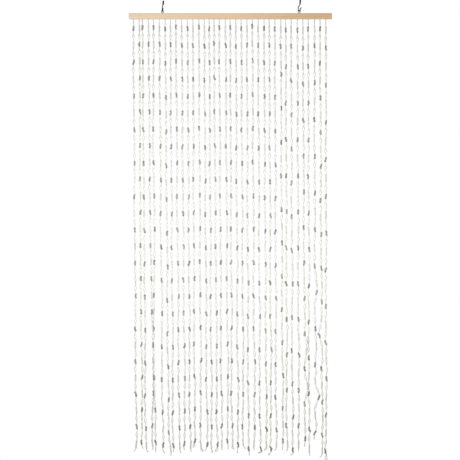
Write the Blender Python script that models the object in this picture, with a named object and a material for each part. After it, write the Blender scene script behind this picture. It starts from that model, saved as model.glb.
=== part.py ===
# Bamboo bead door curtain: strands of beads below a wooden batten, which hangs from two screw hooks.
# Metres, +Z up. The origin is the centre of the batten's back face, and the front looks along -Y.

import math
from collections import namedtuple

import bmesh
import bpy
from mathutils import Matrix, Vector

MM = 0.001
FIT_GAP = 0.3 * MM

# Batten, a planed strip of wood with a shallow groove under it for the strands' backing strip
BATTEN_LENGTH = 900 * MM
BATTEN_HEIGHT = 26 * MM
BATTEN_DEPTH = 15 * MM
BATTEN_ROUND = 1.5 * MM
GROOVE_DEPTH = 2.2 * MM

# Backing strip, which lies in the groove and carries every strand
STRIP_LENGTH = 880 * MM
STRIP_WIDTH = 6 * MM
ROOT_HALF = 3 * MM
ROOT_DROP = 4 * MM

# Strand thickness: half widths of its three-sided section
CORD_RADIUS = 2.2 * MM
BEAD_RADIUS = 3.8 * MM
GROUP_RADIUS = 5.6 * MM
GROUP_HALF = 13 * MM
GROUP_TAPER = 12 * MM
TAIL_LENGTH = 18 * MM
LAST_GROUP_RISE = 20 * MM
STRAND_SIDES = 3

# How a strand sways on its way down, in millimetres, where no bow holds it
SWAY_TOP = 0.5
SWAY_FOOT = 2.2
SWAY_LONG_WAVE = 640.0
SWAY_SHORT_WAVE = 270.0
SWAY_START = 120.0
GOLDEN_ANGLE = math.radians(137.508)

# Each step between bead groups is this much shorter than the one above it, as the strand crinkles
CRINKLE = 0.3

# Screw eyes in the batten's top edge
EYE_RADIUS = 5.75 * MM
EYE_WIRE = 1.2 * MM
EYE_NECK = 1.5 * MM
EYE_CENTRE = 7.6 * MM

# Screw hooks: a wire bowl below a thicker threaded shank
HOOK_WIRE = 1.6 * MM
HOOK_TIP = 1.0 * MM
SHANK_RADIUS = 3.3 * MM
SHANK_END = 2.4 * MM
SHANK_CHAMFER = 1.0 * MM
HOOK_SIDES = 8
HOOK_STEPS = 3
HOOK_GAP = 0.6 * MM

# Millimetres, strands from left to right: place of the hole under the batten, how far the foot
# hangs to the right of it, depth of the first bead group's middle, first step to the next group,
# depth of the tail's end, and how far the tail leans to the right.
Strand = namedtuple("Strand", "top drift first pitch foot tail")
STRANDS = [
    Strand(-430, 13, 41, 151, 1917, -12),
    Strand(-404, 13, 110, 151, 1905, 8),
    Strand(-390, 16, 38, 152, 1920, 9),
    Strand(-363, 18, 111, 151, 1921, -2),
    Strand(-341, -1, 38, 151, 1911, 0),
    Strand(-315, 16, 111, 152, 1926, 9),
    Strand(-289, 16, 44, 153, 1937, 2),
    Strand(-266, 13, 113, 152, 1920, -2),
    Strand(-242, 16, 35, 152, 1925, 8),
    Strand(-216, 15, 116, 151, 1912, 0),
    Strand(-190, 12, 42, 151, 1919, 3),
    Strand(-166, 8, 117, 150, 1900, -6),
    Strand(-140, 10, 35, 151, 1919, 8),
    Strand(-116, 13, 120, 151, 1916, -11),
    Strand(-94, 11, 43, 151, 1922, 5),
    Strand(-73, 15, 108, 152, 1919, -10),
    Strand(-50, 12, 38, 151, 1912, 0),
    Strand(-22, 13, 117, 150, 1909, 3),
    Strand(-1, 8, 37, 151, 1908, 4),
    Strand(24, 10, 121, 151, 1926, -3),
    Strand(48, 10, 42, 151, 1905, 12),
    Strand(73, 7, 115, 153, 1936, 5),
    Strand(97, 11, 32, 152, 1912, 1),
    Strand(123, 9, 116, 153, 1926, -9),
    Strand(149, 11, 41, 152, 1914, -8),
    Strand(172, 9, 115, 153, 1934, -11),
    Strand(197, 6, 44, 152, 1914, -9),
    Strand(223, 10, 121, 152, 1912, 0),
    Strand(245, 6, 48, 163, 1916, -4),
    Strand(269, 7, 120, 153, 1935, -11),
    Strand(297, 7, 49, 163, 1917, 2),
    Strand(321, 10, 128, 161, 1897, -6),
    Strand(345, 5, 44, 165, 1937, 5),
    Strand(373, 2, 117, 165, 1866, 0),
    Strand(397, 10, 43, 154, 1943, -12),
    Strand(423, 1, 128, 166, 1958, 4),
]

# Strands with one short step: which, the number of groups above it, and millimetres it lacks
Skip = namedtuple("Skip", "strand above short")
SKIPS = [
    Skip(28, 1, 28),
    Skip(34, 7, 43),
    Skip(34, 10, 14),
]

# Where strands bow sideways or catch on a neighbour, in millimetres: which strand, the depth of
# the bow's middle, half its height, and how far it goes to the right and to the front.
Bow = namedtuple("Bow", "strand depth reach across out")
BOWS = [
    Bow(2, 980, 300, -1, 1),
    Bow(3, 980, 300, 1, -1),
    Bow(4, 1900, 900, 15, 0),
    Bow(4, 1475, 500, 0, 10.5),
    Bow(5, 1000, 500, 5, 0),
    Bow(5, 1475, 500, 0, -6.5),
    Bow(5, 1790, 120, -5, 0),
    Bow(7, 1925, 90, 8, 0),
    Bow(32, 1456, 90, 11, 6),
    Bow(32, 1634, 85, 11, 6),
    Bow(33, 1456, 110, -2, -6),
    Bow(33, 1634, 105, -3, -6),
    Bow(34, 1185, 90, 10, 0),
    Bow(34, 1450, 70, 7, 0),
    Bow(34, 1566, 30, 6, 0),
    Bow(34, 1668, 60, 20, 4),
    Bow(34, 1800, 60, 6, 0),
    Bow(35, 1395, 50, -12, 0),
    Bow(35, 1480, 80, 4, 0),
    Bow(35, 1668, 100, 3, -4),
]

# A hook's centre line in its own plane, in millimetres: sideways and up from the bowl's lowest point
HookPoint = namedtuple("HookPoint", "side rise")
HOOK_LINE = [
    HookPoint(10.5, 19.0),
    HookPoint(8.0, 15.0),
    HookPoint(6.0, 10.5),
    HookPoint(5.4, 6.0),
    HookPoint(3.6, 1.8),
    HookPoint(0.0, 0.0),
    HookPoint(-3.8, 1.8),
    HookPoint(-5.8, 6.5),
    HookPoint(-6.2, 12.0),
    HookPoint(-5.2, 18.0),
    HookPoint(-2.0, 24.0),
    HookPoint(1.5, 28.0),
    HookPoint(2.9, 31.5),
]
SHANK_SIDE = 2.9
SHANK_START = 33.5
SHANK_TOP = 52

# Where each hook and its eye sit along the batten, in millimetres, and how they are turned, in
# degrees: yaw of the hook and of the eye about Z, and the hook's lean to the right and to the front.
Hanger = namedtuple("Hanger", "name x hook_yaw eye_yaw lean_right lean_front")
HANGERS = [
    Hanger("left", -301, -75, -51, 6, 36),
    Hanger("right", 305, 35, 58, 3, 0),
]


def clear_scene():
    for old in list(bpy.data.objects):
        bpy.data.objects.remove(old)


def material(name, colour, roughness, metallic=0.0):
    """A plain Principled material."""
    made = bpy.data.materials.new(name)
    made.use_nodes = True
    shader = made.node_tree.nodes["Principled BSDF"]
    shader.inputs["Base Color"].default_value = (*colour, 1.0)
    shader.inputs["Roughness"].default_value = roughness
    shader.inputs["Metallic"].default_value = metallic
    return made


def add_object(name, bm, finish, parent):
    """Turns a bmesh into an object with one material, under the parent empty."""
    bmesh.ops.recalc_face_normals(bm, faces=bm.faces)
    mesh = bpy.data.meshes.new(name)
    bm.to_mesh(mesh)
    bm.free()
    mesh.materials.append(finish)
    obj = bpy.data.objects.new(name, mesh)
    obj.parent = parent
    bpy.context.scene.collection.objects.link(obj)
    return obj


def box_bmesh(size):
    bm = bmesh.new()
    bmesh.ops.create_cube(bm, size=1.0)
    bmesh.ops.scale(bm, vec=Vector(size), verts=bm.verts)
    return bm


def bridge(bm, upper, lower):
    """Faces between two rings that have the same number of corners."""
    count = len(upper)
    for i in range(count):
        j = (i + 1) % count
        bm.faces.new((upper[i], upper[j], lower[j], lower[i]))


def hide_as_cutter(obj):
    obj.hide_render = True
    obj.display_type = "WIRE"


def build_batten(parent):
    """The batten, with its long edges rounded and the groove cut into its underside."""
    bm = box_bmesh((BATTEN_LENGTH, BATTEN_DEPTH, BATTEN_HEIGHT))
    bmesh.ops.bevel(
        bm, geom=bm.edges[:], offset=BATTEN_ROUND, segments=2, profile=0.5, affect="EDGES"
    )
    batten = add_object("batten", bm, material("pale_wood", (0.72, 0.52, 0.33), 0.55), parent)
    batten.location.y = -BATTEN_DEPTH / 2

    groove_length = STRIP_LENGTH + 2 * FIT_GAP
    groove_width = STRIP_WIDTH + 2 * FIT_GAP
    cutter_bm = box_bmesh((groove_length, groove_width, 2 * GROOVE_DEPTH))
    cutter = add_object("groove_cutter", cutter_bm, batten.data.materials[0], parent)
    cutter.location = (0, -BATTEN_DEPTH / 2, -BATTEN_HEIGHT / 2)
    hide_as_cutter(cutter)

    groove = batten.modifiers.new("groove", "BOOLEAN")
    groove.operation = "DIFFERENCE"
    groove.solver = "EXACT"
    groove.object = cutter


def bow_share(depth, bow):
    """1 at the bow's middle, and 0 from its reach outwards, in millimetres of depth."""
    away = abs(depth - bow.depth) / bow.reach
    if away >= 1:
        return 0.0
    return 0.5 + 0.5 * math.cos(math.pi * away)


def hang_at(number, depth):
    """Sideways and forward place of a strand at a depth below the batten, all in millimetres."""
    row = STRANDS[number - 1]
    share = min(depth / row.foot, 1.0)
    turn = number * GOLDEN_ANGLE
    calm = max([bow_share(depth, bow) for bow in BOWS if bow.strand == number], default=0.0)
    sway = (SWAY_TOP + (SWAY_FOOT - SWAY_TOP) * share) * min(depth / SWAY_START, 1.0 - calm)
    long_wave = 2 * math.pi * depth / SWAY_LONG_WAVE
    short_wave = 2 * math.pi * depth / SWAY_SHORT_WAVE
    across = sway * (math.sin(long_wave + turn) + 0.5 * math.sin(short_wave + 2 * turn))
    out = 0.7 * sway * (math.sin(long_wave + 3 * turn) + 0.5 * math.sin(short_wave + 5 * turn))
    for bow in BOWS:
        if bow.strand == number:
            across += bow.across * bow_share(depth, bow)
            out += bow.out * bow_share(depth, bow)
    tail_share = max(0.0, (depth - row.foot) / (TAIL_LENGTH / MM) + 1)
    across += row.tail * tail_share
    return row.top + row.drift * share + across, out


def group_depths(number):
    """Depths of the middles of a strand's dark bead groups, in millimetres."""
    row = STRANDS[number - 1]
    skipped = {skip.above: skip.short for skip in SKIPS if skip.strand == number}
    lowest = row.foot - LAST_GROUP_RISE / MM
    depths = []
    depth = row.first
    while depth < lowest:
        depths.append(depth)
        depth += row.pitch - 2 * CRINKLE * len(depths) - skipped.get(len(depths), 0)
    return depths


def strand_profile(number):
    """Depth and radius, in metres, of each ring of a strand below its root."""
    foot = STRANDS[number - 1].foot * MM
    tail = foot - TAIL_LENGTH
    rings = [(ROOT_DROP, CORD_RADIUS)]
    groups = group_depths(number)
    for middle in groups:
        start = middle * MM - GROUP_HALF
        end = middle * MM + GROUP_HALF
        if start > 3 * GROUP_TAPER:
            rings.append((start - GROUP_TAPER, BEAD_RADIUS))
        rings.append((start, GROUP_RADIUS))
        rings.append((end, GROUP_RADIUS))
        if middle < groups[-1]:
            rings.append((end + GROUP_TAPER, BEAD_RADIUS))
    if tail > rings[-1][0]:
        rings.append((tail, CORD_RADIUS))
    rings.append((foot, CORD_RADIUS))
    return rings


def strand_ring(bm, number, depth, radius):
    """One level ring of a strand, with a corner at the front and a side at the back."""
    across, out = hang_at(number, depth / MM)
    centre = Vector((across * MM, -BATTEN_DEPTH / 2 - out * MM, -BATTEN_HEIGHT / 2 - depth))
    corners = []
    for i in range(STRAND_SIDES):
        angle = -math.pi / 2 + 2 * math.pi * i / STRAND_SIDES
        corners.append(bm.verts.new(centre + radius * Vector((math.cos(angle), math.sin(angle), 0))))
    return corners


def root_funnel(bm, cell, ring):
    """Joins the strip's square opening to a strand's first ring, whose corner 0 is at the front."""
    front_left, front_right, back_right, back_left = cell
    front, right, left = ring
    bm.faces.new((front_left, front_right, front))
    bm.faces.new((front_right, back_right, right, front))
    bm.faces.new((back_right, back_left, left, right))
    bm.faces.new((back_left, front_left, front, left))


def build_strand(bm, number, cell):
    rings = [strand_ring(bm, number, depth, radius) for depth, radius in strand_profile(number)]
    root_funnel(bm, cell, rings[0])
    for upper, lower in zip(rings, rings[1:]):
        bridge(bm, upper, lower)
    bm.faces.new(rings[-1])


def build_strands(parent):
    """The backing strip with all strands growing out of its underside, in one closed body."""
    bm = bmesh.new()
    y_front = -BATTEN_DEPTH / 2 - STRIP_WIDTH / 2
    y_back = -BATTEN_DEPTH / 2 + STRIP_WIDTH / 2
    z_low = -BATTEN_HEIGHT / 2 + FIT_GAP
    z_high = -BATTEN_HEIGHT / 2 + GROOVE_DEPTH - FIT_GAP
    stations = [-STRIP_LENGTH / 2]
    for row in STRANDS:
        stations += [row.top * MM - ROOT_HALF, row.top * MM + ROOT_HALF]
    stations.append(STRIP_LENGTH / 2)

    sections = []
    for x in stations:
        corners = ((y_front, z_low), (y_back, z_low), (y_back, z_high), (y_front, z_high))
        sections.append([bm.verts.new((x, y, z)) for y, z in corners])
    bm.faces.new(sections[0])
    bm.faces.new(sections[-1])
    for i, (left, right) in enumerate(zip(sections, sections[1:])):
        for side in (1, 2, 3):
            after = (side + 1) % 4
            bm.faces.new((left[side], left[after], right[after], right[side]))
        strand_here = i % 2 == 1
        if strand_here:
            number = (i + 1) // 2
            build_strand(bm, number, (left[0], right[0], right[1], left[1]))
        else:
            bm.faces.new((left[0], left[1], right[1], right[0]))
    add_object("strands", bm, material("bead_strand", (0.78, 0.78, 0.70), 0.6), parent)


def smooth_line(points, steps):
    """A Catmull-Rom curve through the points, with this many steps between neighbours."""
    ends = [2 * points[0] - points[1]] + points + [2 * points[-1] - points[-2]]
    line = []
    for a, b, c, d in zip(ends, ends[1:], ends[2:], ends[3:]):
        for i in range(steps):
            t = i / steps
            line.append(
                0.5 * (2 * b + (c - a) * t + (2 * a - 5 * b + 4 * c - d) * t**2
                       + (3 * b - a - 3 * c + d) * t**3)
            )
    line.append(points[-1])
    return line


def build_hook(hanger, finish, parent):
    """A screw hook swept along its line in its own XZ plane, then turned and leant into place."""
    bowl = [Vector((p.side * MM, 0, p.rise * MM)) for p in HOOK_LINE]
    line = smooth_line(bowl, HOOK_STEPS)
    radii = [HOOK_TIP] + [HOOK_WIRE] * (len(line) - 1)
    shank_top = SHANK_TOP * MM
    for rise, radius in (
        (SHANK_START * MM, SHANK_RADIUS),
        (shank_top - SHANK_CHAMFER, SHANK_RADIUS),
        (shank_top, SHANK_END),
    ):
        line.append(Vector((SHANK_SIDE * MM, 0, rise)))
        radii.append(radius)

    bm = bmesh.new()
    across = Vector((0, 1, 0))
    rings = []
    for i, (point, radius) in enumerate(zip(line, radii)):
        ahead = (line[min(i + 1, len(line) - 1)] - line[max(i - 1, 0)]).normalized()
        inward = ahead.cross(across)
        ring = []
        for k in range(HOOK_SIDES):
            angle = 2 * math.pi * (k + 0.5) / HOOK_SIDES
            ring.append(
                bm.verts.new(point + radius * (math.cos(angle) * inward + math.sin(angle) * across))
            )
        rings.append(ring)
    for one, following in zip(rings, rings[1:]):
        bridge(bm, one, following)
    bm.faces.new(rings[0])
    bm.faces.new(rings[-1])
    turn = (
        Matrix.Rotation(math.radians(hanger.lean_front), 3, "X")
        @ Matrix.Rotation(math.radians(hanger.lean_right), 3, "Y")
        @ Matrix.Rotation(math.radians(hanger.hook_yaw), 3, "Z")
    )
    lowest = min((turn @ point for point in line), key=lambda point: point.z)
    under_eye = BATTEN_HEIGHT / 2 + EYE_CENTRE + EYE_RADIUS - EYE_WIRE - HOOK_WIRE - HOOK_GAP
    seat = Vector((hanger.x * MM, -BATTEN_DEPTH / 2, under_eye))
    hook = add_object(f"hook_{hanger.name}", bm, finish, parent)
    hook.data.shade_smooth()
    hook.data.set_sharp_from_angle(angle=math.radians(50))
    hook.matrix_local = Matrix.Translation(seat - lowest) @ turn.to_4x4()


def build_eye(hanger, finish, parent):
    """A screw eye: a wire ring on the short neck that stands out of the batten's top edge."""
    bm = bmesh.new()
    around, section = 20, 8
    rings = []
    for i in range(around):
        turn = 2 * math.pi * i / around
        outward = Vector((0, math.cos(turn), math.sin(turn)))
        centre = Vector((0, 0, EYE_CENTRE)) + EYE_RADIUS * outward
        ring = []
        for k in range(section):
            angle = 2 * math.pi * k / section
            offset = EYE_WIRE * (math.cos(angle) * outward + math.sin(angle) * Vector((1, 0, 0)))
            ring.append(bm.verts.new(centre + offset))
        rings.append(ring)
    for one, following in zip(rings, rings[1:] + rings[:1]):
        bridge(bm, one, following)
    eye = add_object(f"eye_{hanger.name}", bm, finish, parent)
    eye.location = (hanger.x * MM, -BATTEN_DEPTH / 2, BATTEN_HEIGHT / 2)
    eye.rotation_euler.z = math.radians(hanger.eye_yaw)

    neck_top = EYE_CENTRE - EYE_RADIUS
    neck_bm = bmesh.new()
    bmesh.ops.create_cone(
        neck_bm, cap_ends=True, segments=10, radius1=EYE_NECK, radius2=EYE_NECK,
        depth=neck_top - FIT_GAP,
    )
    neck = add_object(f"neck_{hanger.name}", neck_bm, finish, parent)
    neck.location = eye.location + Vector((0, 0, (neck_top + FIT_GAP) / 2))
    hide_as_cutter(neck)

    joined = eye.modifiers.new("neck", "BOOLEAN")
    joined.operation = "UNION"
    joined.solver = "EXACT"
    joined.object = neck


clear_scene()
curtain = bpy.data.objects.new("curtain", None)
bpy.context.scene.collection.objects.link(curtain)
build_batten(curtain)
build_strands(curtain)
for hanger in HANGERS:
    black_steel = material(f"black_steel_{hanger.name}", (0.03, 0.03, 0.03), 0.4, 0.8)
    build_hook(hanger, black_steel, curtain)
    build_eye(hanger, black_steel, curtain)
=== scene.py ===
# Dresses the bead door curtain: each bead on its cord, the wooden batten, the black hooks and eyes.
import math
import random
from collections import namedtuple

import bmesh
import bpy
import numpy as np
from mathutils import Matrix, Vector


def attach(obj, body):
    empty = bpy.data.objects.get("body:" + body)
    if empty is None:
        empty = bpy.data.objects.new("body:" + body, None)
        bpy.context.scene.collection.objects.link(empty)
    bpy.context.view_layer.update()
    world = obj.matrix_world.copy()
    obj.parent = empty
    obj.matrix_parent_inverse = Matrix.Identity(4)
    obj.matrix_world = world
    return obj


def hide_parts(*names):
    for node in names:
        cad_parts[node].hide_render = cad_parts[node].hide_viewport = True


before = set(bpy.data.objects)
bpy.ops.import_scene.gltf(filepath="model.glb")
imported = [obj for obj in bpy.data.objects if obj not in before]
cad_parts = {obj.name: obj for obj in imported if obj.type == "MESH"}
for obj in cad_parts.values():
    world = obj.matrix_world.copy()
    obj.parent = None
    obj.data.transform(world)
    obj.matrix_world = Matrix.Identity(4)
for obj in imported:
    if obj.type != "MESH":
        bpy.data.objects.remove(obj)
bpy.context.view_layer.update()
scene = bpy.context.scene
mm = 0.001
chance = random.Random(36)
print("frame loaded:", ", ".join(sorted(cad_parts)))


# Small helpers for shader and geometry nodes

class Signal:  # one socket's value, so that shader maths reads as plain sums
    def __init__(self, graph, socket):
        self.graph, self.socket = graph, socket

    def maths(self, operation, *values):
        return self.graph.add("ShaderNodeMath", {"operation": operation}, dict(enumerate(values)))

    def __add__(self, other):
        return self.maths("ADD", self, other)

    def __radd__(self, other):
        return self.maths("ADD", other, self)

    def __sub__(self, other):
        return self.maths("SUBTRACT", self, other)

    def __rsub__(self, other):
        return self.maths("SUBTRACT", other, self)

    def __mul__(self, other):
        return self.maths("MULTIPLY", self, other)

    def __rmul__(self, other):
        return self.maths("MULTIPLY", other, self)

    def __pow__(self, other):
        return self.maths("POWER", self, other)

    def clamped(self):
        return self.graph.add("ShaderNodeClamp", {}, {0: self})


class Surface:  # a material and the nodes in it
    def __init__(self, name, **fixed):
        self.material = bpy.data.materials.new(name)
        self.material.use_nodes = True
        self.tree = self.material.node_tree
        self.shader = self.tree.nodes["Principled BSDF"]
        self.set(**fixed)

    def set(self, **values):
        for name, value in values.items():
            self.plug(self.shader.inputs[name.replace("_", " ")], value)

    def plug(self, socket, value):
        if isinstance(value, Signal):
            self.tree.links.new(value.socket, socket)
        elif isinstance(value, tuple) and len(value) == 3 and socket.type == "RGBA":
            socket.default_value = (*value, 1.0)
        else:
            socket.default_value = value

    def add(self, kind, settings=None, values=None, output=0):
        node = self.tree.nodes.new(kind)
        for name, value in (settings or {}).items():
            setattr(node, name, value)
        for name, value in (values or {}).items():
            self.plug(node.inputs[name], value)
        return Signal(self, node.outputs[output])

    def attribute(self, name, output="Fac"):
        return self.add("ShaderNodeAttribute", {"attribute_name": name}, output=output)

    def noise(self, place, scale, detail=3.0, rough=0.5):
        sizes = {"Vector": place, "Scale": scale, "Detail": detail, "Roughness": rough}
        return self.add("ShaderNodeTexNoise", {}, sizes, output="Fac")

    def stretched(self, place, scale, shift=None):
        where = place
        if shift is not None:
            where = self.add("ShaderNodeVectorMath", {"operation": "ADD"}, {0: place, 1: shift})
        return self.add("ShaderNodeVectorMath", {"operation": "MULTIPLY"}, {0: where, 1: scale})

    def blend(self, share, one, other, kind="MIX"):
        settings = {"data_type": "RGBA", "blend_type": kind}
        return self.add("ShaderNodeMix", settings, {0: share, 6: one, 7: other}, output=2)

    def relief(self, height, strength, distance):
        sizes = {"Height": height, "Strength": strength, "Distance": distance}
        return self.add("ShaderNodeBump", {}, sizes)


# Makes an evaluated object's mesh a piece of its own.
def plainMesh(name, obj, surface, node=None):
    graph = bpy.context.evaluated_depsgraph_get()
    mesh = bpy.data.meshes.new_from_object(obj.evaluated_get(graph), depsgraph=graph)
    mesh.name = name
    source = obj.data
    bpy.data.objects.remove(obj)
    if source.users == 0:
        bpy.data.meshes.remove(source)
    return finishPiece(name, mesh, surface, node)


def finishPiece(name, mesh, surface, node=None):
    mesh.materials.clear()
    mesh.materials.append(surface.material)
    piece = bpy.data.objects.new(name, mesh)
    scene.collection.objects.link(piece)
    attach(piece, "root")
    if node:
        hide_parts(node)
    triangles = sum(len(polygon.vertices) - 2 for polygon in mesh.polygons)
    print(f"  {name}: {triangles} triangles")
    return piece


def addInput(tree, name, kind, value=None):
    socket = tree.interface.new_socket(name, in_out="INPUT", socket_type=kind)
    if value is not None:
        socket.default_value = value
    return socket.identifier


# Adds a geometry node, with its settings made first, and returns it.
def chain(tree, kind, settings=None, values=None):
    node = tree.nodes.new(kind)
    for name, value in (settings or {}).items():
        setattr(node, name, value)
    for name, value in (values or {}).items():
        if isinstance(value, bpy.types.NodeSocket):
            tree.links.new(value, node.inputs[name])
        else:
            node.inputs[name].default_value = value
    return node


# How the strands hang, in millimetres, as in the solids

# top: place under the batten. drift: how far the foot hangs to its right. first and pitch: depth
# of the first dark group and the first step to the next. foot: depth of the end. tail: its lean.
Strand = namedtuple("Strand", "top drift first pitch foot tail end")
strands = [
    Strand(-430, 13, 41, 151, 1917, -12, "bent"),
    Strand(-404, 13, 110, 151, 1905, 8, "bent"),
    Strand(-390, 16, 38, 152, 1920, 9, "bent"),
    Strand(-363, 18, 111, 151, 1921, -2, "straight"),
    Strand(-341, -1, 38, 151, 1911, 0, "straight"),
    Strand(-315, 16, 111, 152, 1926, 9, "bent"),
    Strand(-289, 16, 44, 153, 1937, 2, "straight"),
    Strand(-266, 13, 113, 152, 1920, -2, "straight"),
    Strand(-242, 16, 35, 152, 1925, 8, "bent"),
    Strand(-216, 15, 116, 151, 1912, 0, "straight"),
    Strand(-190, 12, 42, 151, 1919, 3, "straight"),
    Strand(-166, 8, 117, 150, 1900, -6, "loop"),
    Strand(-140, 10, 35, 151, 1919, 8, "loop"),
    Strand(-116, 13, 120, 151, 1916, -11, "bent"),
    Strand(-94, 11, 43, 151, 1922, 5, "curl"),
    Strand(-73, 15, 108, 152, 1919, -10, "loop"),
    Strand(-50, 12, 38, 151, 1912, 0, "straight"),
    Strand(-22, 13, 117, 150, 1909, 3, "straight"),
    Strand(-1, 8, 37, 151, 1908, 4, "loop"),
    Strand(24, 10, 121, 151, 1926, -3, "knot"),
    Strand(48, 10, 42, 151, 1905, 12, "bent"),
    Strand(73, 7, 115, 153, 1936, 5, "straight"),
    Strand(97, 11, 32, 152, 1912, 1, "straight"),
    Strand(123, 9, 116, 153, 1926, -9, "loop"),
    Strand(149, 11, 41, 152, 1914, -8, "loop"),
    Strand(172, 9, 115, 153, 1934, -11, "curl"),
    Strand(197, 6, 44, 152, 1914, -9, "bent"),
    Strand(223, 10, 121, 152, 1912, 0, "straight"),
    Strand(245, 6, 48, 163, 1916, -4, "straight"),
    Strand(269, 7, 120, 153, 1935, -11, "bent"),
    Strand(297, 7, 49, 163, 1917, 2, "knot"),
    Strand(321, 10, 128, 161, 1897, -6, "straight"),
    Strand(345, 5, 44, 165, 1937, 5, "bent"),
    Strand(373, 2, 117, 165, 1866, 0, "straight"),
    Strand(397, 10, 43, 154, 1943, -12, "bent"),
    Strand(423, 1, 128, 166, 1958, 4, "loop"),
]
Skip = namedtuple("Skip", "strand above short")  # one short step between two bead groups
skips = [
    Skip(28, 1, 28),
    Skip(34, 7, 43),
    Skip(34, 10, 14),
]
Bow = namedtuple("Bow", "strand depth reach across out")  # where a strand bows or meets another
bows = [
    Bow(2, 980, 300, -1, 1),
    Bow(3, 980, 300, 1, -1),
    Bow(4, 1900, 900, 15, 0),
    Bow(4, 1475, 500, 0, 10.5),
    Bow(5, 1000, 500, 5, 0),
    Bow(5, 1475, 500, 0, -6.5),
    Bow(5, 1790, 120, -5, 0),
    Bow(7, 1925, 90, 8, 0),
    Bow(32, 1456, 90, 11, 6),
    Bow(32, 1634, 85, 11, 6),
    Bow(33, 1456, 110, -2, -6),
    Bow(33, 1634, 105, -3, -6),
    Bow(34, 1185, 90, 10, 0),
    Bow(34, 1450, 70, 7, 0),
    Bow(34, 1566, 30, 6, 0),
    Bow(34, 1668, 60, 20, 4),
    Bow(34, 1800, 60, 6, 0),
    Bow(35, 1395, 50, -12, 0),
    Bow(35, 1480, 80, 4, 0),
    Bow(35, 1668, 100, 3, -4),
]
hang = {
    "plane": -7.5,         # the strands' middle plane in y
    "underside": -13.0,    # the batten's underside in z
    "swayTop": 0.5,
    "swayFoot": 2.2,
    "longWave": 640.0,
    "shortWave": 270.0,
    "swayStart": 120.0,
    "turn": math.radians(137.508),
    "crinkle": 0.3,        # each step between groups is twice this shorter than the one above
    "groupHalf": 10.8,
    "leanTop": 1.1,        # how far a group's ends may lie to either side of the strand
    "leanFoot": 2.4,
    "lastGroupRise": 20.0,  # a last group's middle lies at least this far above the foot
    "tail": 18.0,
    "kinkTop": 0.7,        # sideways play of the joints between beads
    "kinkFoot": 2.3,
    "brownShare": 0.16,    # of the groups, those with a brown bead in the middle
}


def bowShare(depth, bow):
    away = abs(depth - bow.depth) / bow.reach
    return 0.0 if away >= 1 else 0.5 + 0.5 * math.cos(math.pi * away)


def hangAt(number, depth, tailLean=True):
    row = strands[number - 1]
    share = min(depth / row.foot, 1.0)
    turn = number * hang["turn"]
    calm = max([bowShare(depth, bow) for bow in bows if bow.strand == number], default=0.0)
    sway = hang["swayTop"] + (hang["swayFoot"] - hang["swayTop"]) * share
    sway *= min(depth / hang["swayStart"], 1 - calm)
    longWave = 2 * math.pi * depth / hang["longWave"]
    shortWave = 2 * math.pi * depth / hang["shortWave"]
    across = sway * (math.sin(longWave + turn) + 0.5 * math.sin(shortWave + 2 * turn))
    out = 0.7 * sway * (math.sin(longWave + 3 * turn) + 0.5 * math.sin(shortWave + 5 * turn))
    for bow in bows:
        if bow.strand == number:
            across += bow.across * bowShare(depth, bow)
            out += bow.out * bowShare(depth, bow)
    if tailLean:
        across += row.tail * max(0.0, (depth - row.foot) / hang["tail"] + 1)
    x = row.top + row.drift * share + across
    return Vector((x, hang["plane"] - out, hang["underside"] - depth))


def groupDepths(number):
    row = strands[number - 1]
    skipped = {skip.above: skip.short for skip in skips if skip.strand == number}
    depths, depth = [], row.first
    while depth < row.foot - hang["lastGroupRise"]:
        depths.append(depth)
        depth += row.pitch - 2 * hang["crinkle"] * len(depths) - skipped.get(len(depths), 0)
    return depths


# The order of the beads on every strand

beadSizes = {  # length and width in millimetres
    "dark": (7.2, 9.4),
    "brown": (7.2, 9.0),
    "oval": (20.0, 11.0),
    "slim": (15.5, 5.0),
    "tube": (29.0, 6.9),
}
beadOrders = {
    "top": ["slim", "slim", "tube", "slim", "oval", "slim"],
    "shortTop": ["slim", "slim"],
    "step": ["slim", "oval", "slim", "tube", "slim", "oval", "slim"],
    "shortStep": ["slim", "oval", "slim", "tube", "slim"],
    "foot": ["slim", "oval", "slim", "tube"],
}
roomSizes = {"top": 60, "step": 105, "foot": 50}  # with less room than this, fewer beads fit


# Beads in this order from one depth to the other, all stretched or shortened alike.
def spread(order, start, end):
    scale = (end - start) / sum(beadSizes[kind][0] for kind in order)
    made, depth = [], start
    for kind in order:
        length = beadSizes[kind][0] * scale
        made.append((kind, depth, depth + length))
        depth += length
    return made


def beadsOf(number):
    row = strands[number - 1]
    groups = groupDepths(number)
    half = hang["groupHalf"]
    room = groups[0] - half - 1  # from the batten down to the first group
    beads = spread(beadOrders["shortTop" if room < roomSizes["top"] else "top"], 1, groups[0] - half)
    for k, middle in enumerate(groups):
        order = ["dark", "brown", "dark"] if chance.random() < hang["brownShare"] else ["dark"] * 3
        beads += spread(order, middle - half, middle + half)
        if k + 1 < len(groups):
            start, end = middle + half, groups[k + 1] - half
            order = beadOrders["shortStep" if end - start < roomSizes["step"] else "step"]
            beads += spread(order, start, end)
    start, end = groups[-1] + half, row.foot - hang["tail"] + 1
    if end - start > roomSizes["foot"]:
        beads += spread(beadOrders["foot"], start, end)
    return beads


# How strong the painted shade is under the batten and towards the foot, and over what depths it grows.
paintedShadeSizes = {"top": 0.12, "topReach": 150.0, "foot": 0.25, "footStart": 1300.0, "footReach": 600.0}


# Painted shade at a depth: the pieces are painted a little darker right under the batten, and more towards
# the foot.
def paintedShadeAt(depth):
    top = max(0.0, 1 - depth / paintedShadeSizes["topReach"])
    foot = min(1.0, max(0.0, (depth - paintedShadeSizes["footStart"]) / paintedShadeSizes["footReach"]))
    return paintedShadeSizes["top"] * top + paintedShadeSizes["foot"] * foot


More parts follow.
